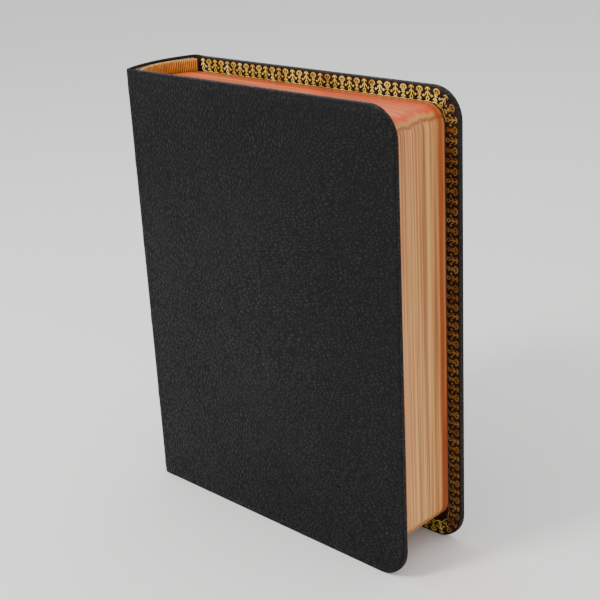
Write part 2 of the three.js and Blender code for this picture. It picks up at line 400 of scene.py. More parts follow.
def linen_material():
    """Unbleached linen, plain woven and sized with glue: matt, with crossing threads 2 mm apart."""
    material, tree, shader = new_material("unbleached_linen")
    place = node(tree, "ShaderNodeTexCoord").outputs["Object"]
    warp = node(tree, "ShaderNodeTexWave", {"Scale": 160.0, "Distortion": 1.5, "Detail": 2.0},
                {"Vector": place},
                bands_direction="Z")
    weft = node(tree, "ShaderNodeTexWave", {"Scale": 160.0, "Distortion": 1.5, "Detail": 2.0},
                {"Vector": place},
                bands_direction="Y")
    weave = node(tree, "ShaderNodeMath", links={0: warp.outputs["Fac"], 1: weft.outputs["Fac"]},
                 operation="MULTIPLY")
    color = ramp(tree, weave, [(0.0, srgb("#a3957a")), (1.0, srgb("#ddd1b5"))])
    finish_shader(tree, shader, color, 0.95, weave.outputs[0], 0.5, 0.0002)
    return material


LINEN = linen_material()


def finish_node(name, material):
    """Gives a CAD node that keeps its shape its finish."""
    mesh = frame["nodes"][name].data
    mesh.materials.clear()
    mesh.materials.append(material)


for name in frame["nodes"]:
    if name.startswith("sewing_tape") or name == "spine_lining":
        finish_node(name, LINEN)

# ------------------------------------------------------------
# Spine curve.
# The hollow back is round; its radius follows from how far its crown stands behind the
# shoulders, where the leather turns flat at the joints.
# ------------------------------------------------------------

JOINT_WIDTH = 7.5 * MM
BAND_RISE = 0.7 * MM
hinge_x = next(j["pos_m"][0] for j in frame["joints"] if j["name"] == "front_cover_hinge")
spine_low, spine_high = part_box("spine_leather")
spine_middle = (spine_low.y + spine_high.y) / 2
half_thickness = (spine_high.y - spine_low.y) / 2
shoulder_x = hinge_x - JOINT_WIDTH
spine_round = shoulder_x - (spine_low.x + BAND_RISE)
spine_radius = (half_thickness ** 2 + spine_round ** 2) / (2 * spine_round)
spine_centre = shoulder_x - spine_round + spine_radius


def on_arc(centre, radius, angle, height):
    """A point at a radius and angle about an upright line; 0 is the crown, + towards the back cover."""
    return (centre - radius * math.cos(angle), spine_middle + radius * math.sin(angle), height)


# ------------------------------------------------------------
# Headband and tailband.
# A flat core wound with two silks, gold and amber by turns, and glued behind the folds. The
# turns are laid by a node tree: one bent thread at each step along the core's curve.
# ------------------------------------------------------------

THREAD_PITCH = 0.54 * MM
THREAD_RADIUS = 0.29 * MM
HEADBAND_DEPTH = 2.1 * MM
CORE_STEPS = 40
BEAD_STEPS = 8
PATH_STEPS = 120
BLOCK_RADIUS = 32.9 * MM  # the round back of the pages, over the headbands


def silk_material(name, dark, light):
    """Twisted silk: satin, with fine strands and slow patches of lighter and darker thread."""
    material, tree, shader = new_material(name)
    place = node(tree, "ShaderNodeTexCoord").outputs["Object"]
    strands = node(tree, "ShaderNodeTexNoise", {"Scale": 2600, "Detail": 3}, {"Vector": place})
    worn = node(tree, "ShaderNodeTexNoise", {"Scale": 260, "Detail": 2}, {"Vector": place})
    both = node(tree, "ShaderNodeMath", links={0: strands.outputs["Fac"], 1: worn.outputs["Fac"]},
                operation="MULTIPLY")
    color = ramp(tree, both, [(0.12, srgb(dark)), (0.38, srgb(light))])
    finish_shader(tree, shader, color, 0.55, strands.outputs["Fac"], 0.4, 0.0001)
    return material


GOLD_SILK = silk_material("gold_silk_thread", "#c87410", "#f6b440")
AMBER_SILK = silk_material("amber_silk_thread", "#3c1002", "#7c2c08")


def group_input(tree, name, kind, default=None):
    """A named input of a node tree, with its default."""
    made = tree.interface.new_socket(name, in_out="INPUT", socket_type=kind)
    if default is not None:
        made.default_value = default
    return made


def along_path_tree():
    """Sets two shapes by turns along a path that lies in X and Y, each turned to the path there."""
    tree = bpy.data.node_groups.new("shapes_along_path", "GeometryNodeTree")
    group_input(tree, "Path", "NodeSocketGeometry")
    group_input(tree, "Odd Shape", "NodeSocketObject")
    group_input(tree, "Even Shape", "NodeSocketObject")
    group_input(tree, "Pitch", "NodeSocketFloat", 0.001)
    group_input(tree, "Odd Finish", "NodeSocketMaterial")
    group_input(tree, "Even Finish", "NodeSocketMaterial")
    tree.interface.new_socket("Geometry", in_out="OUTPUT", socket_type="NodeSocketGeometry")
    given = node(tree, "NodeGroupInput").outputs
    curve = node(tree, "GeometryNodeMeshToCurve", links={"Mesh": given["Path"]})
    points = node(tree, "GeometryNodeCurveToPoints", links={"Curve": curve, "Length": given["Pitch"]},
                  mode="LENGTH")
    facing = node(tree, "FunctionNodeAlignRotationToVector", links={"Vector": points.outputs["Tangent"]},
                  axis="X", pivot_axis="Z")
    index = node(tree, "GeometryNodeInputIndex")
    odd = node(tree, "ShaderNodeMath", {1: 2.0}, {0: index}, operation="MODULO")
    even = node(tree, "ShaderNodeMath", {0: 1.0}, {1: odd}, operation="SUBTRACT")
    both = node(tree, "GeometryNodeJoinGeometry")
    for name, chosen in (("Odd", odd), ("Even", even)):
        shape = node(tree, "GeometryNodeObjectInfo", links={"Object": given[name + " Shape"]})
        placed = node(tree, "GeometryNodeInstanceOnPoints", links={
            "Points": points.outputs["Points"], "Selection": chosen,
            "Instance": shape.outputs["Geometry"], "Rotation": facing.outputs["Rotation"]})
        real = node(tree, "GeometryNodeRealizeInstances", links={"Geometry": placed})
        painted = node(tree, "GeometryNodeSetMaterial",
                       links={"Geometry": real, "Material": given[name + " Finish"]})
        tree.links.new(painted.outputs[0], both.inputs[0])
    result = node(tree, "NodeGroupOutput")
    tree.links.new(both.outputs[0], result.inputs[0])
    return tree


SHAPES_ALONG_PATH = along_path_tree()


def set_along_path(name, path, closed, odd, even, pitch, odd_finish, even_finish):
    """A plain mesh of two shapes set by turns along a path of (x, y) points."""
    edges = [(i, i + 1) for i in range(len(path) - 1)] + ([(len(path) - 1, 0)] if closed else [])
    mesh = bpy.data.meshes.new(name)
    mesh.from_pydata([(x, y, 0) for x, y in path], edges, [])
    holder = bpy.data.objects.new(name, mesh)
    bpy.context.scene.collection.objects.link(holder)
    modifier = holder.modifiers.new("shapes", "NODES")
    modifier.node_group = SHAPES_ALONG_PATH
    values = {"Odd Shape": odd, "Even Shape": even, "Pitch": pitch, "Odd Finish": odd_finish,
              "Even Finish": even_finish}
    for item in SHAPES_ALONG_PATH.interface.items_tree:
        if item.in_out == "INPUT" and item.name in values:
            modifier[item.identifier] = values[item.name]
    bpy.context.view_layer.update()
    evaluated = holder.evaluated_get(bpy.context.evaluated_depsgraph_get())
    result = bpy.data.meshes.new_from_object(evaluated)
    bpy.data.objects.remove(holder)
    made = bpy.data.objects.new(name, result)
    bpy.context.scene.collection.objects.link(made)
    return made


def tube_along(points, radius, sides):
    """Vertices and faces of a closed round tube along points that lie in one plane with X = 0."""
    points = [Vector(p) for p in points]
    vertices, faces = [], []
    for i, point in enumerate(points):
        before, after = points[max(i - 1, 0)], points[min(i + 1, len(points) - 1)]
        forward = (after - before).normalized()
        aside = Vector((1, 0, 0))
        up = forward.cross(aside)
        for s in range(sides):
            angle = 2 * math.pi * s / sides
            vertices.append(point + radius * (math.cos(angle) * aside + math.sin(angle) * up))
    faces = [tuple(reversed(f)) for f in grid_faces(len(points), sides, close_columns=True)]
    faces += [tuple(range(sides)), tuple(reversed(range((len(points) - 1) * sides, len(points) * sides)))]
    return vertices, faces


def add_headband(name, top_out):
    """top_out is +1 where the bead stands at the top end, and -1 where it hangs at the tail."""
    low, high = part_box(name)
    centre = low.x + BLOCK_RADIUS
    lean = math.asin((high.y - low.y) / 2 / BLOCK_RADIUS)
    bead = HEADBAND_DEPTH / 2
    path_radius = BLOCK_RADIUS - bead
    start, tip = (low.z, high.z) if top_out > 0 else (high.z, low.z)
    # The core under the silk, a little smaller all round.
    shrink = THREAD_RADIUS
    section = [(path_radius - bead + shrink, start), (path_radius + bead - shrink, start)]
    for i in range(BEAD_STEPS + 1):
        angle = math.pi * i / BEAD_STEPS
        radius = path_radius + (bead - shrink) * math.cos(angle)
        section.append((radius, tip - top_out * bead + top_out * (bead - shrink) * math.sin(angle)))
    vertices = [on_arc(centre, r, -lean + 2 * lean * i / CORE_STEPS, z)
                for i in range(CORE_STEPS + 1) for r, z in section]
    faces = grid_faces(CORE_STEPS + 1, len(section), close_columns=True)
    faces += [tuple(range(len(section))),
              tuple(reversed(range(len(vertices) - len(section), len(vertices))))]
    core = link_mesh(name + "_core", vertices, faces, [AMBER_SILK])
    tidy_normals(core)
    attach(core, "root")

    # One turn of silk, drawn across the path: up the outside, over the bead and down the inside.
    turn = [(0, -bead + shrink, start)]
    for i in range(BEAD_STEPS + 1):
        angle = math.pi - math.pi * i / BEAD_STEPS
        turn.append((0, (bead - shrink) * math.cos(angle),
                     tip - top_out * bead + top_out * (bead - shrink) * math.sin(angle)))
    turn.append((0, bead - shrink, start))
    thread = link_mesh(name + "_thread", *tube_along(turn, THREAD_RADIUS, 6), [GOLD_SILK])
    path = [on_arc(centre, path_radius, -lean + 2 * lean * i / PATH_STEPS,
                   0)[:2] for i in range(PATH_STEPS + 1)]
    wound = set_along_path(name + "_silk", path, False, thread, thread, THREAD_PITCH, GOLD_SILK, AMBER_SILK)
    bpy.data.objects.remove(thread)
    tidy_normals(wound)
    wound.data.polygons.foreach_set("use_smooth", [True] * len(wound.data.polygons))
    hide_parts(name)
    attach(wound, "root")


def tidy_normals(piece):
    """Merges doubled vertices and turns every face outwards."""
    work = bmesh.new()
    work.from_mesh(piece.data)
    bmesh.ops.remove_doubles(work, verts=work.verts, dist=1e-7)
    bmesh.ops.recalc_face_normals(work, faces=work.faces)
    work.to_mesh(piece.data)
    work.free()


add_headband("headband", 1)
add_headband("tailband", -1)

# ------------------------------------------------------------
# Boards and spine card.
# Grey millboard in the covers, thin card in the hollow back, and narrow card strips that raise
# the leather into bands. All of it lies under the leather.
# ------------------------------------------------------------


def millboard_material():
    """Grey millboard: pressed waste paper, matt, flecked with darker fibres."""
    material, tree, shader = new_material("grey_millboard")
    place = node(tree, "ShaderNodeTexCoord").outputs["Object"]
    flecks = node(tree, "ShaderNodeTexNoise", {"Scale": 1400, "Detail": 5, "Roughness": 0.75},
                  {"Vector": place})
    color = ramp(tree, flecks.outputs["Fac"],
                 [(0.32, srgb("#5f594f")), (0.5, srgb("#8d8678")), (0.7, srgb("#a49c8c"))])
    finish_shader(tree, shader, color, 0.92, flecks.outputs["Fac"], 0.4, 0.0002)
    return material


MILLBOARD = millboard_material()
for name in frame["nodes"]:
    if name.endswith("_board") or name == "spine_card" or name.startswith("raised_band"):
        finish_node(name, MILLBOARD)

# ------------------------------------------------------------
# Leather of the covers.
# Black goatskin with a pebbled grain, drawn over each board and turned in over its three free
# edges; it runs on across the joint to the spine's shoulder.
# ------------------------------------------------------------

LEATHER = 0.7 * MM
TURN_IN = 15.5 * MM
EDGE_BAND = 3.0 * MM  # the skin rolls over the board's edge within this distance
COVER_CORNER = 16 * MM
PANEL_STEP = 2.0 * MM
SOFTNESS = 0.10 * MM  # slow rise and fall of the skin over the board
JOINT_LAP = 2.8 * MM  # the cover's skin reaches this far past the hinge line over the spine's
JOINT_DEPTH = 2.1 * MM  # how far the skin turns down over the joint, where no board lies under it
EVENNESS = 20 * MM  # the skin lies flat on the board within this distance of its edges
PEBBLE = 1.7 * MM
CREASE = 0.6 * MM
ROLL_STEPS = 6
ARC_STEPS = 12
JOINT_COLUMNS = 12
JOINT_STEP = 0.5 * MM
TURNED_AFTER = 9  # steps of the section before the skin counts as turned in


def leather_material():
    """Black goatskin, pebbled by boarding and lightly polished: round pebbles about 1.7 mm across,
    whose tops catch the light, with painted shade making the pits between them near-black."""
    material, tree, shader = new_material("black_pebbled_goatskin")
    place = node(tree, "ShaderNodeTexCoord").outputs["Object"]
    drift = node(tree, "ShaderNodeTexNoise", {"Scale": 30, "Detail": 2}, {"Vector": place})
    centred = node(tree, "ShaderNodeVectorMath", {1: (0.5, 0.5, 0.5)}, {0: drift.outputs["Color"]},
                   operation="SUBTRACT")
    shove = node(tree, "ShaderNodeVectorMath", {"Scale": 0.010}, {0: centred}, operation="SCALE")
    bent = node(tree, "ShaderNodeVectorMath", links={0: place, 1: shove}, operation="ADD")

    # How far a point is from the fore-edge, and from the nearer of head and tail.
    low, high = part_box("front_cover_leather")
    axes = node(tree, "ShaderNodeSeparateXYZ", links={"Vector": place})
    to_fore = node(tree, "ShaderNodeMath", {0: high.x}, {1: axes.outputs["X"]}, operation="SUBTRACT")
    to_head = node(tree, "ShaderNodeMath", {0: high.z}, {1: axes.outputs["Z"]}, operation="SUBTRACT")
    to_end = node(tree, "ShaderNodeMath", links={0: to_head, 1: axes.outputs["Z"]}, operation="MINIMUM")
    nearer = node(tree, "ShaderNodeMath", links={0: to_end, 1: to_fore}, operation="SUBTRACT")
    sideways = node(tree, "ShaderNodeMapRange", {"From Min": -0.07, "From Max": 0.01}, {"Value": nearer},
                    interpolation_type="SMOOTHSTEP")
    to_edge = node(tree, "ShaderNodeMath", links={0: to_end, 1: to_fore}, operation="MINIMUM")
    smooth_rim = node(tree, "ShaderNodeMapRange", {"From Min": 0.0015, "From Max": 0.005, "To Min": 0.15},
                      {"Value": to_edge}, interpolation_type="SMOOTHSTEP")
    flatter = node(tree, "ShaderNodeMapRange",
                   {"From Min": 0.03, "From Max": 0.09, "To Min": 1.0, "To Max": 0.6},
                   {"Value": to_edge})
    strength = node(tree, "ShaderNodeMath", links={0: smooth_rim, 1: flatter}, operation="MULTIPLY")

    # Pebbles 1.7 mm apart, drawn out one way near the fore-edge and another near head and tail, with
    # narrow valleys between them, and finer creases on them at 0.6 mm.
    def pebble_edges(turn, stretch):
        drawn = node(tree, "ShaderNodeMapping", {"Rotation": (0.0, turn, 0.0), "Scale": stretch},
                     {"Vector": bent})
        return node(tree, "ShaderNodeTexVoronoi", {"Scale": 1 / PEBBLE, "Randomness": 0.95},
                    {"Vector": drawn}, feature="DISTANCE_TO_EDGE")

    upright = pebble_edges(0.75, (1.15, 1.0, 0.66))
    level = pebble_edges(0.35, (0.58, 1.0, 1.15))
    pebbles = node(tree, "ShaderNodeMix", links={"Factor": sideways, "A": upright, "B": level},
                   data_type="FLOAT")
    creases = node(tree, "ShaderNodeTexVoronoi", {"Scale": 1 / CREASE, "Randomness": 1.0}, {"Vector": bent},
                   feature="DISTANCE_TO_EDGE")
    pores = node(tree, "ShaderNodeTexNoise", {"Scale": 4200, "Detail": 3}, {"Vector": place})
    dome = node(tree, "ShaderNodeMapRange", {"From Min": 0.0, "From Max": 0.42}, {"Value": pebbles},
                interpolation_type="SMOOTHERSTEP")
    crease = node(tree, "ShaderNodeMapRange", {"From Min": 0.0, "From Max": 0.16},
                  {"Value": creases.outputs["Distance"]})
    fine = node(tree, "ShaderNodeMath", {1: 0.16}, {0: crease}, operation="MULTIPLY")
    pore = node(tree, "ShaderNodeMath", {1: 0.08}, {0: pores.outputs["Fac"]}, operation="MULTIPLY")
    sum_one = node(tree, "ShaderNodeMath", links={0: dome, 1: fine}, operation="ADD")
    sum_two = node(tree, "ShaderNodeMath", links={0: sum_one, 1: pore}, operation="ADD")
    height = node(tree, "ShaderNodeMath", links={0: sum_two, 1: strength}, operation="MULTIPLY")

    tone_mask = node(tree, "ShaderNodeTexNoise", {"Scale": 16, "Detail": 4, "Roughness": 0.6},
                   {"Vector": place})
    # Painted shade: the pits between the pebbles are coloured near-black, darker than the pebble tops.
    painted_pit_shade = ramp(tree, dome, [(0.0, srgb("#030303")), (0.4, srgb("#090909")), (1.0, srgb("#111113"))])
    tone = ramp(tree, tone_mask.outputs["Fac"], [(0.3, grey(0.75)), (0.7, grey(1.15))])
    dye_tone_and_pit_shade = node(tree, "ShaderNodeMix", {"Factor": 1.0}, {"A": painted_pit_shade, "B": tone}, data_type="RGBA",
                blend_type="MULTIPLY")
    # The pared skin of the turn-ins took less dye, so it is a brown black.
    inner = node(tree, "ShaderNodeAttribute", attribute_name="turned_in")
    color = node(tree, "ShaderNodeMix", {"B": srgb("#1c1009")}, {"Factor": inner.outputs["Fac"], "A": dye_tone_and_pit_shade},
                 data_type="RGBA")
    rub = node(tree, "ShaderNodeMapRange", {"From Max": 0.5, "To Min": 0.66, "To Max": 0.33},
               {"Value": dome})
    worn = node(tree, "ShaderNodeMapRange",
                {"From Min": 0.3, "From Max": 0.7, "To Min": -0.06, "To Max": 0.06},
                {"Value": tone_mask.outputs["Fac"]})
    gloss = node(tree, "ShaderNodeMath", links={0: rub, 1: worn}, operation="ADD")
    shader.inputs["Specular IOR Level"].default_value = 0.14
    finish_shader(tree, shader, color.outputs["Result"], gloss.outputs[0], height.outputs[0], 1.0, 0.0009)
    return material


GOATSKIN = leather_material()


def edge_section(depth):
    """The skin over a cover's edge, as (inset from the edge, depth below the outer face): from
    the panel, over the edge, to the end of the turn-in on the inside."""
    roll = 0.22 * depth
    quarter = [math.pi / 2 * i / ROLL_STEPS for i in range(ROLL_STEPS + 1)]
    points = [(2.0 * MM, 0.03 * MM)]
    points += [(roll * (1 - math.sin(a)), 0.06 * MM + roll * (1 - math.cos(a))) for a in quarter]
    points += [(roll * (1 - math.cos(a)), depth - roll * (1 - math.sin(a))) for a in quarter]
    points += [(inset * MM, depth) for inset in (2.5, 5.0, 8.0, 11.0, 14.0)]
    points.append((TURN_IN, depth))
    return points


def add_cover_leather(side):
    low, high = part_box(side + "_cover_leather")
    inward = 1 if side == "front" else -1
    outer_face = low.y if side == "front" else high.y
    depth = high.y - low.y
    tail, head, fore = low.z, high.z, high.x
    radius = COVER_CORNER - EDGE_BAND
    corner_x = fore - COVER_CORNER

    # Columns of the panel: close together over the joint, then even, then round the corners.
    columns = [hinge_x - JOINT_LAP + i * JOINT_STEP for i in range(JOINT_COLUMNS)]
    free = corner_x - columns[-1]
    count = round(free / PANEL_STEP)
    columns += [columns[-1] + free * (i + 1) / count for i in range(count)]
    arc = [math.pi / 2 * i / ARC_STEPS for i in range(1, ARC_STEPS + 1)]
    columns += [corner_x + radius * math.sin(angle) for angle in arc]
    rows = round((head - tail) / PANEL_STEP) + 1

    def reach(x):
        """How far the panel's end stands in from the tail or head at this column."""
        along = max(0.0, x - corner_x)
        return EDGE_BAND + radius - math.sqrt(max(0.0, radius ** 2 - along ** 2))

    def softness(x, z):
        slow = math.sin(x * 61 + z * 23) + math.sin(z * 47 - x * 19 + 1.3) + 0.6 * math.sin(x * 131 - z * 97)
        edge = min(1.0, (fore - x) / EVENNESS, (z - tail) / EVENNESS, (head - z) / EVENNESS)
        near_joint = min(1.0, max(0.0, (x - hinge_x) / EVENNESS))
        return SOFTNESS * (slow / 2.6 + 1) / 2 * max(0.0, edge) * near_joint

    vertices, turned = [], []
    for x in columns:
        bottom, top = tail + reach(x), head - reach(x)
        for r in range(rows):
            z = bottom + (top - bottom) * r / (rows - 1)
            vertices.append((x, outer_face + inward * softness(x, z), z))
            turned.append(0.0)
    faces = [tuple(reversed(quad)) if side == "front" else quad for quad in grid_faces(len(columns), rows)]

    # The border of the panel, with the direction that points off the cover there.
    straight = len(columns) - ARC_STEPS
    border = [(c * rows, (0.0, -1.0)) for c in range(straight)]
    border += [((straight + i) * rows, (math.sin(a), -math.cos(a))) for i, a in enumerate(arc)]
    last = (len(columns) - 1) * rows
    border += [(last + r, (1.0, 0.0)) for r in range(1, rows - 1)]
    border += [((straight + i + 1) * rows - 1, (math.sin(a), math.cos(a))) for i,
               a in reversed(list(enumerate(arc)))]
    border += [((c + 1) * rows - 1, (0.0, 1.0)) for c in reversed(range(straight))]

    previous = [index for index, _ in border]
    for step in range(len(edge_section(depth))):
        current = []
        for index, (nx, nz) in border:
            x, _, z = vertices[index]
            thin = min(1.0, max(0.0, (x - hinge_x + 1.0 * MM) / (3.0 * MM)))
            thin = thin * thin * (3 - 2 * thin)
            inset, down = edge_section(JOINT_DEPTH + (depth - JOINT_DEPTH) * thin)[step]
            off = EDGE_BAND - inset
            current.append(len(vertices))
            vertices.append((x + nx * off, outer_face + inward * down, z + nz * off))
            turned.append(1.0 if step > TURNED_AFTER else 0.0)
        for i in range(len(border) - 1):
            quad = (previous[i], current[i], current[i + 1], previous[i + 1])
            faces.append(quad if side == "front" else tuple(reversed(quad)))
        previous = current

    skin = link_mesh(side + "_cover_skin", vertices, faces, [GOATSKIN])
    mark = skin.data.attributes.new("turned_in", "FLOAT", "POINT")
    mark.data.foreach_set("value", turned)
    thicken(skin, LEATHER)
    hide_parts(side + "_cover_leather")
    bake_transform(skin)


def thicken(piece, thickness):
    """Gives a sheet its thickness, on the side away from its normals."""
    wall = piece.modifiers.new("wall", "SOLIDIFY")
    wall.thickness = thickness
    wall.offset = -1
    wall.use_even_offset = True
    bpy.context.view_layer.update()
    evaluated = piece.evaluated_get(bpy.context.evaluated_depsgraph_get())
    made = bpy.data.meshes.new_from_object(evaluated)
    piece.modifiers.clear()
    piece.data = made


for side in ("front", "back"):
    add_cover_leather(side)

# ------------------------------------------------------------
# Leather of the spine.
# One piece of the same skin, moulded over the six bands while damp, and rolled over the card at
# head and tail into caps that stand a little above the covers.
# ------------------------------------------------------------

SPINE_WALL = 1.4 * MM  # over the rolled caps
SPINE_TURN_IN = 15 * MM
BAND_HALF = 2.9 * MM
SHOULDER = 3 * MM  # radius of the corner between the round back and the flat joint
JOINT_END = 0.2 * MM  # the caps stop this far short of the hinge line
FLAT_STEPS = 9
SHOULDER_STEPS = 8
BACK_STEPS = 16
CAP_STEPS = 10
BAND_COUNT = 6


def spine_outline(inset):
    """Points round the spine at an inset from its outer face, from the front joint to the back one,
    as (x, y, share): the bands rise by their full share on the round back and die away at the shoulders."""
    round_off = SHOULDER - inset
    centre_y = half_thickness - SHOULDER
    centre_x = spine_centre - math.sqrt((spine_radius - SHOULDER) ** 2 - centre_y ** 2)
    half = math.atan2(centre_y, spine_centre - centre_x)
    front = []
    for i in range(FLAT_STEPS):
        x = hinge_x - JOINT_END + (centre_x - hinge_x + JOINT_END) * i / FLAT_STEPS
        under = min(1.0, max(0.0, (x - hinge_x + JOINT_LAP + 0.1 * MM) / (0.8 * MM)))
        front.append((x, half_thickness - inset - (LEATHER + 0.08 * MM) * under, 0.0))
    for i in range(SHOULDER_STEPS + 1):
        angle = math.pi / 2 - (math.pi / 2 - half) * i / SHOULDER_STEPS
        front.append((centre_x - round_off * math.cos(angle), centre_y + round_off * math.sin(angle),
                      0.5 * i / SHOULDER_STEPS))
    for i in range(1, BACK_STEPS + 1):
        angle = half * (1 - i / BACK_STEPS)
        share = min(1.0, 0.5 + i / 6)
        front.append((spine_centre - (spine_radius - inset) * math.cos(angle),
                      (spine_radius - inset) * math.sin(angle), share))
    near = [(x, spine_middle - y, share) for x, y, share in front]
    far = [(x, spine_middle + y, share) for x, y, share in reversed(front[:-1])]
    return near + far


def add_spine_leather():
    tail, head = spine_low.z, spine_high.z
    bands = [sum(corner.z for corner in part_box(f"raised_band_{i}")) / 2 for i in range(1, BAND_COUNT + 1)]
    roll = SPINE_WALL / 2

    def rise(z):
        return BAND_RISE * min(1.0, sum(math.exp(-(((z - band) / BAND_HALF) ** 4)) for band in bands))

    # Rows from the end of the turn-in at the tail, under the tail cap, up the back and over the head cap.
    half_turn = [math.pi * i / CAP_STEPS for i in range(CAP_STEPS + 1)]
    rows = [(SPINE_WALL, tail + SPINE_TURN_IN - i * 2.5 * MM) for i in range(5)]
    rows += [(roll + roll * math.cos(a), tail + roll - roll * math.sin(a)) for a in half_turn]
    wall = round((head - tail - 2 * roll) / (0.9 * MM))
    rows += [(0.0, tail + roll + (head - tail - 2 * roll) * i / wall) for i in range(1, wall)]
    rows += [(roll - roll * math.cos(a), head - roll + roll * math.sin(a)) for a in half_turn]
    rows += [(SPINE_WALL, head - SPINE_TURN_IN + i * 2.5 * MM) for i in reversed(range(5))]
    vertices = []
    for inset, z in rows:
        swell = rise(z) if inset < roll else 0.0
        for x, y, share in spine_outline(inset):
            vertices.append((x - swell * share, y, z))
    count = len(spine_outline(0.0))
    skin = link_mesh("spine_skin", vertices, grid_faces(len(rows), count), [GOATSKIN])
    flip_if_inward(skin)
    mark = skin.data.attributes.new("turned_in", "FLOAT", "POINT")
    mark.data.foreach_set("value",
                          [1.0 if inset > roll * 1.3 else 0.0 for inset, _ in rows for _ in range(count)])
    thicken(skin, LEATHER)
    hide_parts("spine_leather")
    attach(skin, "root")


def flip_if_inward(piece):
    """Turns an open sheet over if its widest wall faces the spine's centre line."""
    total = 0.0
    for polygon in piece.data.polygons:
        outward = polygon.center - Vector((spine_centre, spine_middle, polygon.center.z))
        if outward.length > spine_radius - 0.5 * MM:
            total += polygon.normal.dot(outward)
    if total < 0:
        piece.data.flip_normals()


add_spine_leather()

# ------------------------------------------------------------
# Gold tooling on the turn-ins.
# A brass roll, run hot over gold leaf round the inside of each cover, prints two small fleurons
# by turns, with a dot between them and a chain line along the inner border.
# ------------------------------------------------------------

ROLL_PITCH = 4.85 * MM
ROLL_START = 1.1 * MM  # inset of the ornament from the cover's edge
ROLL_WIDTH = 6.6 * MM
FOIL = 0.05 * MM


def gold_leaf_material():
    """Gold leaf struck into dark leather: bright metal with the grain under it, broken and dulled
    where it has rubbed, and darkened near the fore-edge by painted shade."""
    material, tree, shader = new_material("tooled_gold_leaf")
    place = node(tree, "ShaderNodeTexCoord").outputs["Object"]
    grain = node(tree, "ShaderNodeTexNoise", {"Scale": 1500, "Detail": 4}, {"Vector": place})
    wear = node(tree, "ShaderNodeTexNoise", {"Scale": 130, "Detail": 3}, {"Vector": place})
    tone = ramp(tree, wear.outputs["Fac"],
                [(0.3, srgb("#a87f22")), (0.5, srgb("#dcb944")), (0.7, srgb("#ffe678"))])
    speck = ramp(tree, grain.outputs["Fac"], [(0.30, grey(0.45)), (0.45, grey(1.0))])
    struck = node(tree, "ShaderNodeMix", {"Factor": 1.0}, {"A": tone, "B": speck}, data_type="RGBA",
                  blend_type="MULTIPLY")
    # Painted shade: near the fore-edge the gold is mixed towards a dull red-brown over the dark leather.
    axes = node(tree, "ShaderNodeSeparateXYZ", links={"Vector": place})
    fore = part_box("front_cover_leather")[1].x
    tone_mask = node(tree, "ShaderNodeMapRange",
                   {"From Min": fore - 0.014, "From Max": fore - 0.007, "To Max": 0.8},
                   {"Value": axes.outputs["X"]})
    color = node(tree, "ShaderNodeMix", {"B": srgb("#6e3014")}, {"Factor": tone_mask, "A": struck},
                 data_type="RGBA")
    shader.inputs["Metallic"].default_value = 0.35
    rough = node(tree, "ShaderNodeMapRange",
                 {"From Min": 0.3, "From Max": 0.7, "To Min": 0.36, "To Max": 0.56},
                 {"Value": wear.outputs["Fac"]})
    finish_shader(tree, shader, color.outputs["Result"], rough.outputs["Result"], grain.outputs["Fac"], 0.4,
                  0.00008)
    return material


GOLD_LEAF = gold_leaf_material()


class Stamp:
    """Collects flat strokes of foil, drawn in millimetres with +Y towards the cover's edge."""

    def __init__(self):
        self.vertices, self.faces = [], []

    def stroke(self, points, widths, closed=False):
        """A ribbon along points, as wide as widths at each; all strokes share one face height."""
        count = len(points)
        start = len(self.vertices)
        height = FOIL / MM + 0.004 * (len(self.faces) % 5)
        for i, (x, y) in enumerate(points):
            if closed:
                before, after = points[i - 1], points[(i + 1) % count]
            else:
                before, after = points[max(i - 1, 0)], points[min(i + 1, count - 1)]
            dx, dy = after[0] - before[0], after[1] - before[1]
            length = math.hypot(dx, dy)
            w = (widths[i] if isinstance(widths, (list, tuple)) else widths) / 2
            nx, ny = -dy / length * w, dx / length * w
            self.vertices += [(x + nx, y + ny, height), (x - nx, y - ny, height), (x - nx, y - ny, 0),
                              (x + nx, y + ny, 0)]
        for i in range(count if closed else count - 1):
            a, b = start + 4 * i, start + 4 * ((i + 1) % count)
            for k in range(4):
                m = (k + 1) % 4
                self.faces.append((a + k, a + m, b + m, b + k))
        if not closed:
            end = start + 4 * (count - 1)
            self.faces += [(start + 3, start + 2, start + 1, start), (end, end + 1, end + 2, end + 3)]

    def mirrored(self, points, widths):
        self.stroke(points, widths)
        self.stroke([(-x, y) for x, y in points], widths)

    def ring(self, x, y, radius, width, steps=10):
        turn = [2 * math.pi * i / steps for i in range(steps)]
        self.stroke([(x + radius * math.cos(a), y + radius * math.sin(a)) for a in turn], width,
                    closed=True)

    def dot(self, x, y, radius, steps=8):
        """A small round mark: a ring as wide as its own radius."""
        self.ring(x, y, radius / 2, radius, steps)

    def made(self, name):
        vertices = [(x * MM, y * MM, z * MM) for x, y, z in self.vertices]
        return link_mesh(name, vertices, self.faces, [GOLD_LEAF], smooth=False)


def arc_points(x, y, rx, ry, start, end, steps):
    turn = [math.radians(start + (end - start) * i / steps) for i in range(steps + 1)]
    return [(x + rx * math.cos(a), y + ry * math.sin(a)) for a in turn]


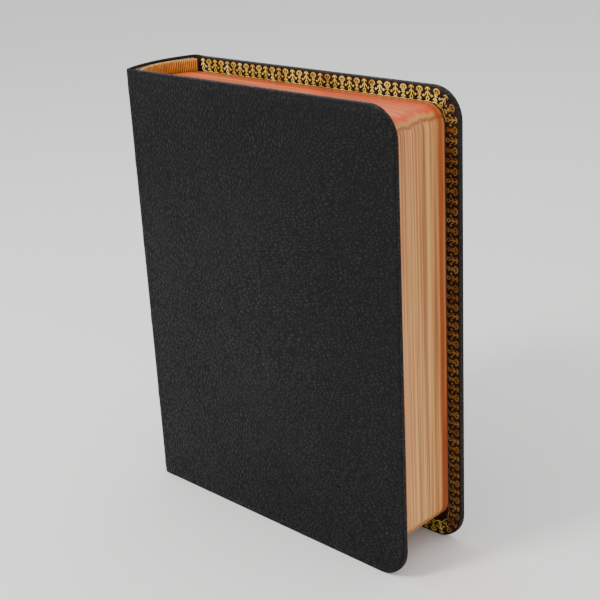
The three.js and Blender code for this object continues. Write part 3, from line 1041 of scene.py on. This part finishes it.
def fan_fleuron():
    """A domed flower with two petals, on a knotted stem that opens into two feet."""
    stamp = Stamp()
    stamp.stroke(arc_points(0, 1.45, 1.75, 1.7, -8, 188, 10),
                 [0.3, 0.5, 0.62, 0.62, 0.6, 0.6, 0.6, 0.62, 0.62, 0.5, 0.3])
    stamp.mirrored([(1.05, 1.9), (0.95, 1.1), (0.5, 0.5), (0.0, 0.05)], [0.35, 0.55, 0.55, 0.5])
    stamp.stroke([(0, 2.7), (0, 1.5), (0, 0.9)], [0.3, 0.5, 0.2])
    stamp.stroke([(0, 0.4), (0, -0.5), (0, -1.5)], [0.5, 0.75, 0.55])
    stamp.mirrored([(0.2, -0.45), (0.75, -0.3), (1.15, -0.55)], [0.5, 0.45, 0.2])
    stamp.mirrored([(0.1, -1.3), (0.7, -1.9), (1.2, -2.6)], [0.5, 0.55, 0.4])
    stamp.ring(0, -2.35, 0.42, 0.26, 8)
    stamp.dot(2.42, -0.75, 0.6)
    return stamp.made("fan_fleuron")


def leaf_fleuron():
    """A crescent on a thick stem with two drooping leaves, over a ring."""
    stamp = Stamp()
    stamp.stroke(arc_points(0, 1.6, 1.5, 1.45, 15, 165, 8),
                 [0.2, 0.5, 0.7, 0.75, 0.75, 0.75, 0.7, 0.5, 0.2])
    stamp.stroke([(0, 2.7), (0, 1.0), (0, 0.1), (0, -1.1)], [0.6, 0.85, 0.7, 0.5])
    stamp.mirrored([(0.15, 1.0), (0.9, 0.65), (1.35, -0.05), (1.45, -0.75)], [0.55, 0.6, 0.5, 0.2])
    stamp.ring(0, -2.1, 0.82, 0.5, 12)
    stamp.dot(2.42, -0.75, 0.6)
    return stamp.made("leaf_fleuron")


def turn_in_path(side, inset, step=1.0 * MM):
    """Points round the turn-in at an inset from the cover's edge, tail first, in X and Z."""
    low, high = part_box(side + "_cover_leather")
    start = low.x + 1.2 * MM
    outline = rounded_page(start, high.x - inset, low.z + inset, high.z - inset, COVER_CORNER - inset, 24)
    points = [outline[0]]
    for a, b in zip(outline, outline[1:]):
        pieces = max(1, round(math.dist(a, b) / step))
        points += [(a[0] + (b[0] - a[0]) * i / pieces, a[1] + (b[1] - a[1]) * i / pieces) for i in range(1,
                pieces + 1)]
    return points


def add_tooling(side):
    low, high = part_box(side + "_cover_leather")
    inner_face = high.y if side == "front" else low.y
    centre_inset = ROLL_START + ROLL_WIDTH / 2
    path = turn_in_path(side, centre_inset)
    # Fleurons point outwards, to the right of the way along the path, so the path is run from the head.
    odd, even = fan_fleuron(), leaf_fleuron()
    length = sum(math.dist(a, b) for a, b in zip(path, path[1:]))
    pitch = length / round(length / ROLL_PITCH)
    roll = set_along_path(side + "_gold_roll", list(reversed(path)), False, odd, even, pitch, GOLD_LEAF,
                          GOLD_LEAF)
    for shape in (odd, even):
        bpy.data.objects.remove(shape)

    # The chain line: a thin ribbon that swings out under each foot of the ornament.
    inset = ROLL_START + ROLL_WIDTH + 0.2 * MM
    chain = Stamp()
    points, along = [], 0.0
    border = turn_in_path(side, inset, 0.6 * MM)
    for i, (x, z) in enumerate(border):
        ahead = border[min(i + 1, len(border) - 1)]
        behind = border[max(i - 1, 0)]
        tangent = Vector((ahead[0] - behind[0], ahead[1] - behind[1])).normalized()
        along += math.dist(border[i - 1], (x, z)) if i else 0.0
        swing = 0.28 * MM * math.cos(2 * math.pi * along / pitch)
        points.append(((x - tangent.y * swing) / MM, (z + tangent.x * swing) / MM))
    chain.stroke(points, 0.5)
    line = chain.made(side + "_chain_line")

    for piece in (roll, line):
        stand = piece.data
        co = np.array([v.co for v in stand.vertices])
        placed = np.empty_like(co)
        placed[:, 0], placed[:, 2] = co[:, 0], co[:, 1]
        inward = 1 if side == "front" else -1
        placed[:, 1] = inner_face + inward * co[:, 2]
        stand.vertices.foreach_set("co", placed.ravel())
        stand.update()
        tidy_normals(piece)
        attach(piece, side + "_cover")


for side in ("front", "back"):
    add_tooling(side)

# ------------------------------------------------------------
# Endpapers.
# A pastedown glued over each board inside the turn-ins, a flyleaf, and two loose cream leaves. The
# leaf beside the flyleaf has its dark edge; the one beside the pages has their red and gold.
# ------------------------------------------------------------


def endpaper_material():
    """Plain dark oxblood endpaper: matt coated stock with a faint laid line every 2.4 mm."""
    material, tree, shader = new_material("oxblood_endpaper")
    place = node(tree, "ShaderNodeTexCoord").outputs["Object"]
    laid = node(tree, "ShaderNodeTexWave", {"Scale": 130.0, "Distortion": 0.4}, {"Vector": place},
                bands_direction="Z")
    fibre = node(tree, "ShaderNodeTexNoise", {"Scale": 700, "Detail": 5}, {"Vector": place})
    mixed = node(tree, "ShaderNodeMath", links={0: laid.outputs["Fac"], 1: fibre.outputs["Fac"]},
                 operation="MULTIPLY")
    color = ramp(tree, mixed, [(0.1, srgb("#2e0f0d")), (0.6, srgb("#431814"))])
    finish_shader(tree, shader, color, 0.8, mixed.outputs[0], 0.15, 0.0001)
    return material


ENDPAPER = endpaper_material()


def add_leaf(name, face, edge):
    """A thin sheet with a stained border on both sides."""
    low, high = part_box(name)

    def outline(y, inset):
        return [(x, y, z) for x,
                z in rounded_page(low.x, high.x - inset, low.z + inset, high.z - inset,
                                  PAGE_CORNER - inset)]

    leaf = stained_pad(name + "_sheet",
                       [outline(low.y, STAIN), outline(low.y, 0), outline(high.y, 0),
                        outline(high.y, STAIN)],
                       face, edge)
    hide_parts(name)
    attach(leaf, body_of(name))


for side in ("front", "back"):
    finish_node(side + "_pastedown", ENDPAPER)
    add_leaf(side + "_flyleaf", ENDPAPER, ENDPAPER)
    add_leaf(side + "_leaf_1", PAGE_FACE, ENDPAPER)
    add_leaf(side + "_leaf_2", PAGE_FACE, PAGE_EDGE)

# ------------------------------------------------------------
# A last update of the view layer.
# ------------------------------------------------------------

bpy.context.view_layer.update()
